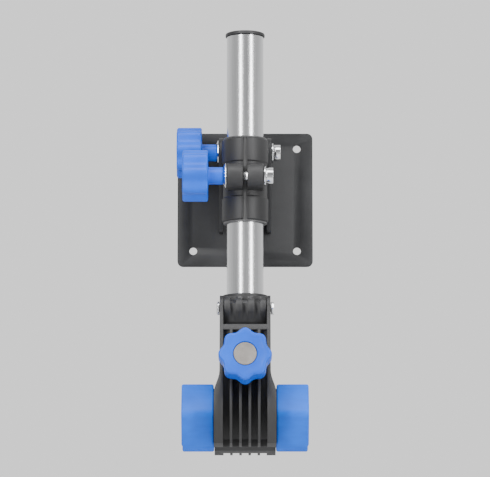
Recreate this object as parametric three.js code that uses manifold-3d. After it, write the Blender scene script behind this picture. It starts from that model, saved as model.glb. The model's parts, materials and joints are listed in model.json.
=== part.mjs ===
// Bicycle wall rack: a wall plate with a tilting collar, a sliding tube and a two-jaw clamp head.
// Millimetres, +Z up. The origin is the centre of the wall plate's back face, the wall is the plane
// y = 0, and the rack stands out from it along -Y. In the outlines below "forward" is -Y.
import * as THREE from "three";
import { mergeVertices } from "three/addons/utils/BufferGeometryUtils.js";
import Module from "manifold-3d";

const wasm = await Module();
wasm.setup();

// ---------- driving dimensions ----------
const GAP = 0.3; // between faces that touch on the real rack

// wall plate
const PLATE_SIZE = 120;
const PLATE_THICK = 4;
const PLATE_CORNER = 5;
const SCREW_SPACING = 92;
const SCREW_HOLE = 7;

// ears, welded to the plate
const EAR_THICK = 4;
const EAR_SPACE = 38; // clear width between the ears
const EAR_BOTTOM = -31;
const EAR_NOSE = 13; // radius of the ear around the tilt bolt

// tilt pivot and tube axis
const TILT_FORWARD = 30;
const TILT_HEIGHT = 37.5;
const TUBE_FORWARD = 69;

// tube and its end cap
const TUBE_RADIUS = 16;
const TUBE_WALL = 2;
const TUBE_TOP = 133;
const TUBE_BOTTOM = -153;
const CAP_LIP = 1.2; // the end cap's edge stands out past the tube
const CAP_THICK = 3;
const CAP_PLUG = 10;

// collar and liner
const LINER_WALL = 1.2;
const LINER_SLIT = 3;
const LINER_LIP = 1.2;
const COLLAR_WALL = 2.4;
const COLLAR_TOP = 41;
const COLLAR_BOTTOM = -31;
const COLLAR_RING = 21; // height of the upper and lower rings
const COLLAR_WAIST = 0.9; // the middle band is smaller in radius by this much
const SLIT = 4;
const LOCK_REACH = 27; // lock bolt, ahead of the tube axis
const LOCK_HEIGHT = 5.3;
const LOCK_LUG_RADIUS = 11;
const LOCK_LUG_HALF = 16;
const TILT_LUG_RADIUS = 10.5;

// threads and hardware
const BOLT_RADIUS = 4;
const SOCKET_RADIUS = 2.9;
const BOLT_HEAD_RADIUS = 7.2;
const BOLT_HEAD_THICK = 6;
const WASHER_RADIUS = 8.5;
const WASHER_THICK = 1.6;

// star knobs
const KNOB_RADIUS = 22.5;
const KNOB_LOBES = 8;
const KNOB_SCALLOP = 2.8;
const KNOB_BODY = 22;
const KNOB_EDGE = 2;
const HUB_RADIUS = 7.5;
const HUB_LENGTH = 13;
const INSERT_RADIUS = 5.6;
const INSERT_LENGTH = 17;
const KNOB_CAP_RADIUS = 9.8;
const KNOB_CAP_THICK = 2.6;
const CAP_SINK = 0.8; // the cap lies this far below the knob's face
const CUP_RADIUS = 11;
const CUP_DEPTH = 2.4;

// clamp head
const HEAD_TOP = -95.6;
const SLEEVE_WALL = 4.2;
const SLEEVE_LENGTH = 38;
const NECK_WALL = 2.1;
const NECK_LENGTH = 60; // from the head's top
const PIVOT_CLEAR = 3.5; // jaw pivot, ahead of the sleeve's outer face
const PIVOT_DROP = 14; // jaw pivot, below the head's top
const PIVOT_RADIUS = 3;
const PIVOT_HEAD_RADIUS = 5.9;
const PIVOT_HEAD_THICK = 2.4;
const PIVOT_NUT_THICK = 2.6;
const HEAD_LUG_RADIUS = 10.2;
const HEAD_SLOTS = 3;
const HEAD_SLOT = 5;
const PINCH_BEHIND = 27;
const PINCH_DROP = 21;
const PINCH_LUG_HALF = 8;
const PINCH_LUG_RADIUS = 8.2;
const PINCH_SLIT = 2;
const PINCH_BOLT_RADIUS = 2.5;
const PINCH_HEAD_RADIUS = 4.3;
const PINCH_HEAD_THICK = 4.6;
const PINCH_NUT_THICK = 4;

// jaws
const JAW_HALF = 21.75; // half width beside the pivot
const JAW_FOOT_HALF = 26.5; // half width beside the pads
const JAW_PLATE = 3;
const JAW_RIBS = 4; // between the two side plates
const JAW_RIB = 2.2;
const REAR_PLATE_TOP = 31; // below the pivot
const REAR_PLATE_BACK = 22; // behind the tube axis
const REAR_PLATE_FRONT = 3; // ahead of the tube axis
const REAR_WEB = 4;
const BOSS_RADIUS = 12.5;
const BOSS_BACK = 48; // rear of the rod boss, from the barrel pin
const WASHER_BED = 14.5; // radius cleared in the ribs for the cup washer
const DOME_RADIUS = 15;

// pads
const PAD_LENGTH = 27.5;
const PAD_THICK = 8;
const PAD_HALF_HEIGHT = 26.75;
const PAD_HALF_ANGLE = 55; // degrees, each arm from the forward axis
const PAD_VERTEX = 22; // outer vertex of the front pads, ahead of the jaw pivot
const REAR_VERTEX = 40; // outer vertex of the rear pads, behind the tube axis
const PAD_ROUND = 7;
const PAD_DROP = 92.5; // centre of the pads, below the jaw pivot
const WING_THICK = 3; // the jaw's arm inside each pad
const PAD_END = 2.5; // rubber over the wing's tip

// clamp rod
const ROD_BEHIND = 12; // barrel pin, behind the tube axis
const ROD_DROP = 57; // barrel pin, below the jaw pivot
const ROD_RISE = 5.2; // degrees, the rod rises towards the knob
const ROD_RADIUS = 4;
const ROD_LENGTH = 88;
const ROD_HOLE = 6.6;
const PIN_RADIUS = 7;
const PIN_HALF = 20.5;
const SEAT_THICK = 1.5;
const SPRING_RADIUS = 7.2;
const SPRING_WIRE = 0.9;
const SPRING_TURNS = 7;
const BOSS_FRONT = 69; // front of the jaw's dome along the rod, from the barrel pin

// facets
const ROUND = 32;
const KNOB_ROUND = 24;
const LOBE_POINTS = 6;
const SMALL_ROUND = 16;
const SPRING_STEPS = 9; // to each turn

// ---------- derived places ----------
const PIVOT_HEIGHT = HEAD_TOP - PIVOT_DROP;
const LINER_IN = TUBE_RADIUS + GAP;
const LINER_OUT = LINER_IN + LINER_WALL;
const COLLAR_IN = LINER_OUT + GAP;
const COLLAR_OUT = COLLAR_IN + COLLAR_WALL;
const LOCK_FORWARD = TUBE_FORWARD + LOCK_REACH;
const EAR_OUT = EAR_SPACE / 2 + EAR_THICK;
const HEAD_BORE = TUBE_RADIUS + GAP;
const SLEEVE_RADIUS = HEAD_BORE + SLEEVE_WALL;
const NECK_RADIUS = HEAD_BORE + NECK_WALL;
const PIVOT_AHEAD = SLEEVE_RADIUS + PIVOT_CLEAR; // of the tube axis
const PIVOT_FORWARD = TUBE_FORWARD + PIVOT_AHEAD;
const JAW_IN = JAW_HALF - JAW_PLATE;
const LUG_HALF = JAW_IN - GAP;
const ROD_START = [TUBE_FORWARD - ROD_BEHIND, PIVOT_HEIGHT - ROD_DROP];
const BORE = BOLT_RADIUS + GAP;

// ---------- helpers ----------
const AXES = {
  // extrusion directions: the outline's own two axes, and where its depth runs
  x: [new THREE.Vector3(0, -1, 0), new THREE.Vector3(0, 0, 1), new THREE.Vector3(-1, 0, 0)],
  forward: [new THREE.Vector3(1, 0, 0), new THREE.Vector3(0, 0, 1), new THREE.Vector3(0, -1, 0)],
  z: [new THREE.Vector3(1, 0, 0), new THREE.Vector3(0, 1, 0), new THREE.Vector3(0, 0, 1)],
};

function solid(geometry) {
  const bare = new THREE.BufferGeometry();
  bare.setAttribute("position", geometry.getAttribute("position"));
  bare.setIndex(geometry.index);
  const merged = mergeVertices(bare, 1e-4);
  const index = merged.index.array;
  const triangles = [];
  for (let i = 0; i < index.length; i += 3) {
    const [a, b, c] = [index[i], index[i + 1], index[i + 2]];
    if (a !== b && b !== c && c !== a) triangles.push(a, b, c);
  }
  return new wasm.Manifold(
    new wasm.Mesh({
      numProp: 3,
      vertProperties: merged.attributes.position.array,
      triVerts: new Uint32Array(triangles),
    }),
  );
}

function geometryOf(manifold) {
  const mesh = manifold.getMesh();
  const geometry = new THREE.BufferGeometry();
  geometry.setAttribute("position", new THREE.BufferAttribute(mesh.vertProperties, 3));
  geometry.setIndex(new THREE.BufferAttribute(mesh.triVerts, 1));
  return geometry;
}

const union = (...parts) => parts.reduce((all, part) => all.add(part));
const cut = (body, ...tools) => tools.reduce((rest, tool) => rest.subtract(tool), body);

function outline(points) {
  return new THREE.Shape(points.map(([u, v]) => new THREE.Vector2(u, v)));
}

// A closed outline pushed along x, forward or z, from low to high.
// Outlines are [forward, up] along x, [x, up] along forward, and [x, forward] along z.
function pushed(points, axis, low, high, bevel = 0) {
  const flat = axis === "z" ? points.map(([x, f]) => [x, -f]) : points;
  const options = {
    depth: high - low - 2 * bevel,
    bevelEnabled: bevel > 0,
    bevelThickness: bevel,
    bevelSize: bevel,
    bevelOffset: -bevel,
    bevelSegments: 1,
    steps: 1,
  };
  const geometry = new THREE.ExtrudeGeometry(outline(flat), options);
  geometry.translate(0, 0, bevel);
  const frame = new THREE.Matrix4().makeBasis(...AXES[axis]);
  if (axis === "x") frame.setPosition(high, 0, 0);
  if (axis === "forward") frame.setPosition(0, -low, 0);
  if (axis === "z") frame.setPosition(0, 0, low);
  return solid(geometry.applyMatrix4(frame));
}

function block(x0, x1, f0, f1, z0, z1) {
  const corners = [[f0, z0], [f1, z0], [f1, z1], [f0, z1]];
  return pushed(corners, "x", x0, x1);
}

function arc(cx, cy, radius, from, to, steps) {
  return Array.from({ length: steps + 1 }, (_, i) => {
    const angle = THREE.MathUtils.degToRad(from + ((to - from) * i) / steps);
    return [cx + radius * Math.cos(angle), cy + radius * Math.sin(angle)];
  });
}

// A turned solid: profile of [radius, along], from the axis to the axis or closed on itself,
// along x, forward or z, standing at [x, forward, up] or in the frame of a Matrix4.
function turned(profile, axis, place, facets = ROUND) {
  const points = profile.map(([radius, along]) => new THREE.Vector2(radius, along));
  const geometry = new THREE.LatheGeometry(points, facets);
  if (axis === "x") geometry.rotateZ(-Math.PI / 2);
  if (axis === "forward") geometry.rotateX(Math.PI);
  if (axis === "z") geometry.rotateX(Math.PI / 2);
  if (place instanceof THREE.Matrix4) geometry.applyMatrix4(place);
  else geometry.translate(place[0], -place[1], place[2]);
  return solid(geometry);
}

const disc = (radius, low, high) => [[0, low], [radius, low], [radius, high], [0, high]];

function ring(inner, outer, low, high) {
  return [[inner, low], [outer, low], [outer, high], [inner, high], [inner, low]];
}

// A round bar along x through [forward, up].
function barX(radius, x0, x1, [forward, up], facets = SMALL_ROUND) {
  return turned(disc(radius, x0, x1), "x", [0, forward, up], facets);
}

// A hexagonal bar along x through [forward, up].
function hexX(radius, x0, x1, [forward, up]) {
  return pushed(arc(forward, up, radius, 0, 300, 5), "x", x0, x1);
}

// ---------- colours and finishes ----------
const FINISH = {
  paint: { color: 0x2a2b2d, roughness: 0.5, metalness: 0.3 },
  blackPlastic: { color: 0x232427, roughness: 0.55, metalness: 0 },
  bluePlastic: { color: 0x1a6fe0, roughness: 0.4, metalness: 0 },
  blueRubber: { color: 0x0a6ee0, roughness: 0.6, metalness: 0 },
  aluminium: { color: 0xb9bcc0, roughness: 0.3, metalness: 1 },
  chrome: { color: 0xd5d7da, roughness: 0.15, metalness: 1 },
  brass: { color: 0xc9a24f, roughness: 0.3, metalness: 1 },
  greyPlastic: { color: 0x9b958f, roughness: 0.5, metalness: 0 },
  linerPlastic: { color: 0xd9d9d6, roughness: 0.6, metalness: 0 },
};

function piece(name, manifold, finish) {
  const mesh = new THREE.Mesh(geometryOf(manifold), new THREE.MeshStandardMaterial(FINISH[finish]));
  mesh.name = name;
  return mesh;
}

function grouped(...members) {
  const group = new THREE.Group();
  group.add(...members);
  return group;
}

// ---------- wall plate and ears ----------
function wallPlate() {
  const side = PLATE_SIZE / 2;
  const inset = side - PLATE_CORNER;
  const corners = [[inset, -inset, -90], [inset, inset, 0], [-inset, inset, 90], [-inset, -inset, 180]];
  const square = corners.flatMap(([x, z, from]) => arc(x, z, PLATE_CORNER, from, from + 90, 5));
  const plate = pushed(square, "forward", 0, PLATE_THICK, 0.6);
  const holes = [-1, 1].flatMap((sx) =>
    [-1, 1].map((sz) =>
      turned(
        disc(SCREW_HOLE / 2, -1, PLATE_THICK + 1),
        "forward",
        [(sx * SCREW_SPACING) / 2, 0, (sz * SCREW_SPACING) / 2],
        SMALL_ROUND,
      ),
    ),
  );
  return cut(plate, ...holes);
}

function ear(side) {
  const back = PLATE_THICK + GAP;
  const top = TILT_HEIGHT + EAR_NOSE;
  const profile = [
    [back, EAR_BOTTOM],
    [back + 14, EAR_BOTTOM],
    ...arc(TILT_FORWARD, TILT_HEIGHT, EAR_NOSE, -20, 90, 8),
    [back, top],
  ];
  const inner = EAR_SPACE / 2;
  const [low, high] = side < 0 ? [-EAR_OUT, -inner] : [inner, EAR_OUT];
  const plate = pushed(profile, "x", low, high, 0.4);
  return cut(plate, barX(BORE, low - 1, high + 1, [TILT_FORWARD, TILT_HEIGHT]));
}

// ---------- bolts, washers and nuts along x ----------
// A socket screw with its head at x = seat on the right, and its thread running to x = tip.
function rightHeadedBolt(at, seat, tip) {
  const head = barX(BOLT_HEAD_RADIUS, seat, seat + BOLT_HEAD_THICK, at);
  const shank = barX(BOLT_RADIUS, tip, seat + 1, at);
  const socket = hexX(SOCKET_RADIUS * 1.3, seat + 2, seat + BOLT_HEAD_THICK + 1, at);
  return cut(union(head, shank), socket);
}

const flatWasher = (low, at) =>
  turned(ring(BORE, WASHER_RADIUS, low, low + WASHER_THICK), "x", [0, ...at], SMALL_ROUND);

// ---------- star knobs: hub end at 0, face forward ----------
const KNOB_LENGTH = HUB_LENGTH + KNOB_BODY;

function starOutline() {
  return Array.from({ length: KNOB_LOBES * LOBE_POINTS }, (_, i) => {
    const angle = (i / (KNOB_LOBES * LOBE_POINTS)) * 2 * Math.PI;
    const dip = (1 - Math.cos(KNOB_LOBES * angle)) / 2;
    const radius = KNOB_RADIUS - KNOB_SCALLOP * dip;
    return [radius * Math.cos(angle), radius * Math.sin(angle)];
  });
}

function knobBody() {
  const star = pushed(starOutline(), "forward", HUB_LENGTH, KNOB_LENGTH, KNOB_EDGE);
  const hub = turned(disc(HUB_RADIUS, 0, HUB_LENGTH + 1), "forward", [0, 0, 0], SMALL_ROUND);
  const recess = KNOB_LENGTH - CAP_SINK - KNOB_CAP_THICK - GAP;
  const hollow = [
    [0, -1],
    [INSERT_RADIUS + GAP, -1],
    [INSERT_RADIUS + GAP, INSERT_LENGTH + GAP],
    [BORE, INSERT_LENGTH + GAP],
    [BORE, recess],
    [KNOB_CAP_RADIUS + GAP, recess],
    [KNOB_CAP_RADIUS + GAP, KNOB_LENGTH + 1],
    [0, KNOB_LENGTH + 1],
  ];
  return cut(union(star, hub), turned(hollow, "forward", [0, 0, 0], KNOB_ROUND));
}

function knobCap() {
  const face = KNOB_LENGTH - CAP_SINK;
  const profile = [
    [0, face - KNOB_CAP_THICK],
    [KNOB_CAP_RADIUS, face - KNOB_CAP_THICK],
    [KNOB_CAP_RADIUS, face - 0.6],
    [KNOB_CAP_RADIUS - 0.6, face],
    [0, face],
  ];
  return turned(profile, "forward", [0, 0, 0], KNOB_ROUND);
}

function knobInsert() {
  return turned(ring(BORE, INSERT_RADIUS, GAP, INSERT_LENGTH), "forward", [0, 0, 0], SMALL_ROUND);
}

// Chrome washer with a turned-down rim; its hollow side faces the clamped part at 0.
function cupWasher() {
  const wall = 1.2;
  const profile = [
    [BORE, CUP_DEPTH - wall],
    [CUP_RADIUS - 3.5, CUP_DEPTH - wall],
    [CUP_RADIUS - 0.8, 0],
    [CUP_RADIUS, 0],
    [CUP_RADIUS, 0.8],
    [CUP_RADIUS - 3, CUP_DEPTH],
    [BORE, CUP_DEPTH],
    [BORE, CUP_DEPTH - wall],
  ];
  return turned(profile, "forward", [0, 0, 0], KNOB_ROUND);
}

function knobSet(name) {
  return grouped(
    piece(name + "_knob", knobBody(), "bluePlastic"),
    piece(name + "_knob_cap", knobCap(), "greyPlastic"),
    piece(name + "_knob_insert", knobInsert(), "brass"),
  );
}

// A knob on the left, facing away along -X, with its hub end at x = -seat.
function leftKnob(name, seat, [forward, up]) {
  const set = knobSet(name);
  set.rotation.z = -Math.PI / 2;
  set.position.set(-seat, -forward, up);
  return set;
}

// ---------- collar and liner ----------
const TILT_AT = [TILT_FORWARD, TILT_HEIGHT];
const LOCK_AT = [LOCK_FORWARD, LOCK_HEIGHT];

function collar() {
  const waist = COLLAR_OUT - COLLAR_WAIST;
  const shell = [
    [COLLAR_IN, COLLAR_BOTTOM],
    [COLLAR_OUT - 0.8, COLLAR_BOTTOM],
    [COLLAR_OUT, COLLAR_BOTTOM + 0.8],
    [COLLAR_OUT, COLLAR_BOTTOM + COLLAR_RING - 1],
    [waist, COLLAR_BOTTOM + COLLAR_RING],
    [waist, COLLAR_TOP - COLLAR_RING],
    [COLLAR_OUT, COLLAR_TOP - COLLAR_RING + 1],
    [COLLAR_OUT, COLLAR_TOP - 0.8],
    [COLLAR_OUT - 0.8, COLLAR_TOP],
    [COLLAR_IN, COLLAR_TOP],
    [COLLAR_IN, COLLAR_BOTTOM],
  ];
  const near = TUBE_FORWARD + COLLAR_IN - 3; // the lugs start inside the shell's wall
  const frontLug = [
    [near, LOCK_HEIGHT - LOCK_LUG_RADIUS],
    ...arc(...LOCK_AT, LOCK_LUG_RADIUS, -90, 90, 10),
    [near, LOCK_HEIGHT + LOCK_LUG_RADIUS],
  ];
  const behind = TUBE_FORWARD - COLLAR_IN + 3;
  const web = [
    [behind, COLLAR_TOP - 1],
    [TUBE_FORWARD - COLLAR_IN - LINER_LIP - 1, COLLAR_TOP - 1], // level beside the liner's lip
    ...arc(...TILT_AT, TILT_LUG_RADIUS - 1, 75, 260, 10),
    [TILT_FORWARD + 9, COLLAR_TOP - COLLAR_RING],
    [behind, COLLAR_BOTTOM + COLLAR_RING],
  ];
  const lugHalf = EAR_SPACE / 2 - GAP;
  const body = union(
    turned(shell, "z", [0, TUBE_FORWARD, 0]),
    pushed(frontLug, "x", -LOCK_LUG_HALF, LOCK_LUG_HALF, 0.8),
    pushed(web, "x", -lugHalf + 6, lugHalf - 6),
    barX(TILT_LUG_RADIUS, -lugHalf, lugHalf, TILT_AT, KNOB_ROUND),
  );
  return cut(
    body,
    turned(disc(COLLAR_IN, COLLAR_BOTTOM - 1, COLLAR_TOP + 1), "z", [0, TUBE_FORWARD, 0]),
    barX(BORE, -EAR_OUT, EAR_OUT, TILT_AT),
    barX(BORE, -EAR_OUT, EAR_OUT, LOCK_AT),
    block(-SLIT / 2, SLIT / 2, TUBE_FORWARD + 5, LOCK_FORWARD + 20, COLLAR_BOTTOM - 1, COLLAR_TOP + 1),
  );
}

function liner() {
  const lip = COLLAR_IN + LINER_LIP;
  const low = COLLAR_BOTTOM - GAP;
  const high = COLLAR_TOP + GAP;
  const profile = [
    [LINER_IN, low - LINER_LIP],
    [lip, low - LINER_LIP],
    [lip, low],
    [LINER_OUT, low],
    [LINER_OUT, high],
    [lip, high],
    [lip, high + LINER_LIP],
    [LINER_IN, high + LINER_LIP],
    [LINER_IN, low - LINER_LIP],
  ];
  const half = LINER_SLIT / 2; // at the back, away from the collar's slit
  const slit = block(-half, half, TUBE_FORWARD - 30, TUBE_FORWARD - 5, low - 5, high + 5);
  return cut(turned(profile, "z", [0, TUBE_FORWARD, 0]), slit);
}

// ---------- tube and end cap ----------
function tube() {
  const profile = ring(TUBE_RADIUS - TUBE_WALL, TUBE_RADIUS, TUBE_BOTTOM, TUBE_TOP);
  return turned(profile, "z", [0, TUBE_FORWARD, 0]);
}

function tubeEndCap() {
  const plug = TUBE_RADIUS - TUBE_WALL - GAP;
  const lip = TUBE_RADIUS + CAP_LIP;
  const seat = TUBE_TOP + GAP;
  const profile = [
    [0, seat - CAP_PLUG],
    [plug, seat - CAP_PLUG],
    [plug, seat],
    [lip, seat],
    [lip, seat + CAP_THICK - 1],
    [lip - 1, seat + CAP_THICK],
    [0, seat + CAP_THICK],
  ];
  return turned(profile, "z", [0, TUBE_FORWARD, 0]);
}

// ---------- clamp head ----------
// Outlines of the head and rear jaw are [ahead of the tube axis, above the jaw pivot], and those of
// the front jaw are [ahead of the jaw pivot, above it].
const fromTube = (points) => points.map(([f, up]) => [TUBE_FORWARD + f, PIVOT_HEIGHT + up]);
const fromPivot = (points) => points.map(([f, up]) => [PIVOT_FORWARD + f, PIVOT_HEIGHT + up]);
const PIVOT_AT = [PIVOT_FORWARD, PIVOT_HEIGHT];
const PINCH_AT = [TUBE_FORWARD - PINCH_BEHIND, HEAD_TOP - PINCH_DROP];
const rodFrame = new THREE.Matrix4()
  .makeRotationX(-THREE.MathUtils.degToRad(ROD_RISE))
  .setPosition(0, -ROD_START[0], ROD_START[1]);

// V between the pads, as the front jaw has it.
const CRADLE = [[6, -76.5], [17, -92.5], [2.2, -113.8]];

// The lower part of a jaw widens from beside the pivot to beside the pads: [x, up] seen from the front.
function flaredFront(narrow, top, bottom) {
  const start = -PAD_DROP + PAD_HALF_HEIGHT + 8;
  const drop = 20;
  const grow = JAW_FOOT_HALF - narrow;
  const flare = Array.from({ length: 7 }, (_, i) => {
    const t = i / 6;
    return [narrow + grow * t * t * (3 - 2 * t), start - drop * t];
  });
  const right = [[narrow, top], ...flare, [JAW_FOOT_HALF, bottom]];
  const left = right.map(([x, up]) => [-x, up]).reverse();
  return [...left, ...right].reverse().map(([x, up]) => [x, PIVOT_HEIGHT + up]);
}

// Slots between evenly spaced ribs, across a width of 2 * half.
function ribSlots(profile, half, ribs, rib) {
  const gap = (2 * half - ribs * rib) / (ribs + 1);
  return Array.from({ length: ribs + 1 }, (_, i) => {
    const low = -half + i * (gap + rib);
    return pushed(profile, "x", low, low + gap);
  });
}

// V-shaped band of the front pads, from one depth under their outer face to another.
function vBand(shallow, deep, shorten) {
  const half = THREE.MathUtils.degToRad(PAD_HALF_ANGLE);
  const [dirF, dirUp] = [-Math.cos(half), Math.sin(half)];
  const arm = PAD_HALF_HEIGHT / Math.sin(half) - shorten;
  const open = 90 - PAD_HALF_ANGLE;
  const tip = (depth, sign) => [
    PAD_VERTEX + arm * dirF - depth * Math.sin(half),
    sign * (arm * dirUp - depth * Math.cos(half)),
  ];
  const bend = (depth, from, to) => {
    const radius = Math.max(PAD_ROUND - depth / 2, 2.5);
    const centre = PAD_VERTEX - (depth + radius) / Math.sin(half);
    return arc(centre, 0, radius, from, to, 6);
  };
  return [
    tip(shallow, -1),
    ...bend(shallow, -open, open),
    tip(shallow, 1),
    tip(deep, 1),
    ...bend(deep, open, -open),
    tip(deep, -1),
  ].map(([f, up]) => [f, up - PAD_DROP]);
}

// The rear jaw's V is the front jaw's, turned to face it.
const mirrored = (points) => points.map(([f, up]) => [PAD_VERTEX - REAR_VERTEX - f, up]).reverse();
const rearPlace = (points) => fromTube(mirrored(points));

const PAD_NEAR = JAW_FOOT_HALF + GAP;
const PAD_FAR = PAD_NEAR + PAD_LENGTH;
const wingProfile = vBand((PAD_THICK - WING_THICK) / 2, (PAD_THICK + WING_THICK) / 2, 3);
const slotProfile = vBand(
  (PAD_THICK - WING_THICK) / 2 - GAP,
  (PAD_THICK + WING_THICK) / 2 + GAP,
  3 - GAP,
);
const padProfile = vBand(0, PAD_THICK, 0);

function pad(side, place) {
  const [low, high] = side < 0 ? [-PAD_FAR, -PAD_NEAR] : [PAD_NEAR, PAD_FAR];
  const slotTip = PAD_FAR - PAD_END + GAP;
  const [slotLow, slotHigh] = side < 0 ? [-slotTip, -PAD_NEAR + 1] : [PAD_NEAR - 1, slotTip];
  return cut(
    pushed(place(padProfile), "x", low, high, 0.8),
    pushed(place(slotProfile), "x", slotLow, slotHigh),
  );
}

const wings = (place) =>
  pushed(place(wingProfile), "x", -(PAD_FAR - PAD_END), PAD_FAR - PAD_END);

function sleeve() {
  const foot = HEAD_TOP - NECK_LENGTH;
  const shoulder = HEAD_TOP - SLEEVE_LENGTH;
  const profile = [
    [0, foot],
    [NECK_RADIUS, foot],
    [NECK_RADIUS, shoulder - 4],
    [SLEEVE_RADIUS, shoulder + 4],
    [SLEEVE_RADIUS, HEAD_TOP - 0.8],
    [SLEEVE_RADIUS - 0.8, HEAD_TOP],
    [0, HEAD_TOP],
  ];
  return turned(profile, "z", [0, TUBE_FORWARD, 0]);
}

function jawLug() {
  const profile = [
    ...arc(PIVOT_AHEAD, 0, HEAD_LUG_RADIUS, -25, 80, 8),
    [PIVOT_AHEAD - 12, PIVOT_DROP - 1.5],
    [10, PIVOT_DROP - 1.5],
    [10, -22],
    [PIVOT_AHEAD - 4, -20],
    [PIVOT_AHEAD + 3, -15],
  ];
  const slotFront = PIVOT_FORWARD + PIVOT_RADIUS + 2.4;
  const reach = PIVOT_FORWARD + HEAD_LUG_RADIUS + 1;
  const fin = (2 * LUG_HALF - HEAD_SLOTS * HEAD_SLOT) / (HEAD_SLOTS + 1);
  const slots = Array.from({ length: HEAD_SLOTS }, (_, i) => {
    const low = -LUG_HALF + fin + i * (fin + HEAD_SLOT);
    const back = TUBE_FORWARD + SLEEVE_RADIUS + 1.2;
    const front = [
      [slotFront, PIVOT_HEIGHT + 4],
      [back, PIVOT_HEIGHT + 8],
      [back, PIVOT_HEIGHT + 20],
      [reach, PIVOT_HEIGHT + 20],
      [reach, PIVOT_HEIGHT - 24],
      [slotFront - 1, PIVOT_HEIGHT - 24],
    ];
    return pushed(front.reverse(), "x", low, low + HEAD_SLOT);
  });
  return cut(pushed(fromTube(profile), "x", -LUG_HALF, LUG_HALF, 0.6), ...slots);
}

function pinchLugs() {
  const near = TUBE_FORWARD - HEAD_BORE + 1;
  const profile = [
    [near, PINCH_AT[1] + PINCH_LUG_RADIUS],
    [PINCH_AT[0], PINCH_AT[1] + PINCH_LUG_RADIUS],
    ...arc(...PINCH_AT, PINCH_LUG_RADIUS, 100, 260, 8),
    [near, PINCH_AT[1] - PINCH_LUG_RADIUS],
  ];
  return pushed(profile.reverse(), "x", -PINCH_LUG_HALF, PINCH_LUG_HALF, 0.6);
}

const REAR_HALF = PIN_HALF;
function rearJaw() {
  const outer = [
    [REAR_PLATE_FRONT, -REAR_PLATE_TOP - 4],
    [REAR_PLATE_FRONT, -62],
    [-15, -71],
    ...mirrored(CRADLE).reverse(),
    [-23, -118],
    [-34, -121],
    [-46, -114],
    [-53, -100],
    [-53, -88],
    [-46, -76],
    [-32, -64],
    [-REAR_PLATE_BACK, -54],
    [-REAR_PLATE_BACK, -REAR_PLATE_TOP - 4],
    [-REAR_PLATE_BACK + 4, -REAR_PLATE_TOP],
    [REAR_PLATE_FRONT - 4, -REAR_PLATE_TOP],
  ];
  const pocket = [
    [REAR_PLATE_FRONT + 5, -REAR_PLATE_TOP + 5],
    [-REAR_PLATE_BACK + REAR_WEB, -REAR_PLATE_TOP + 5],
    [-REAR_PLATE_BACK + REAR_WEB, -67],
    [-12, -68],
    [REAR_PLATE_FRONT + 5, -65],
  ];
  const slots = [
    [-33, -72],
    [-40, -82],
    [-41.5, -92.5],
    [-35, -106],
    [-29, -112],
    [-29, -130],
    [-70, -130],
    [-70, -72],
  ];
  const inner = REAR_HALF - JAW_PLATE - 1;
  const shape = pushed(flaredFront(REAR_HALF, 0, -130), "forward", 0, TUBE_FORWARD + 30);
  return cut(
    pushed(fromTube(outer).reverse(), "x", -JAW_FOOT_HALF, JAW_FOOT_HALF).intersect(shape),
    pushed(fromTube(pocket), "x", -inner, inner),
    ...ribSlots(fromTube(slots), JAW_IN, JAW_RIBS, JAW_RIB),
  );
}

function clampHead() {
  const bore = disc(HEAD_BORE, TUBE_BOTTOM - GAP, HEAD_TOP + 1);
  const pinchSlit = block(
    -PINCH_SLIT / 2,
    PINCH_SLIT / 2,
    TUBE_FORWARD - PINCH_BEHIND - 20,
    TUBE_FORWARD - 5,
    HEAD_TOP - SLEEVE_LENGTH + 6,
    HEAD_TOP + 1,
  );
  const body = union(sleeve(), jawLug(), pinchLugs(), rearJaw(), wings(rearPlace));
  const pinHole = barX(PIN_RADIUS + GAP, -REAR_HALF - 5, REAR_HALF + 5, ROD_START, SMALL_ROUND);
  return cut(
    body,
    turned(bore, "z", [0, TUBE_FORWARD, 0]),
    pinchSlit,
    pinHole,
    barX(PIVOT_RADIUS + GAP, -JAW_HALF, JAW_HALF, PIVOT_AT),
    barX(PINCH_BOLT_RADIUS + GAP, -JAW_HALF, JAW_HALF, PINCH_AT),
  );
}

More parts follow.
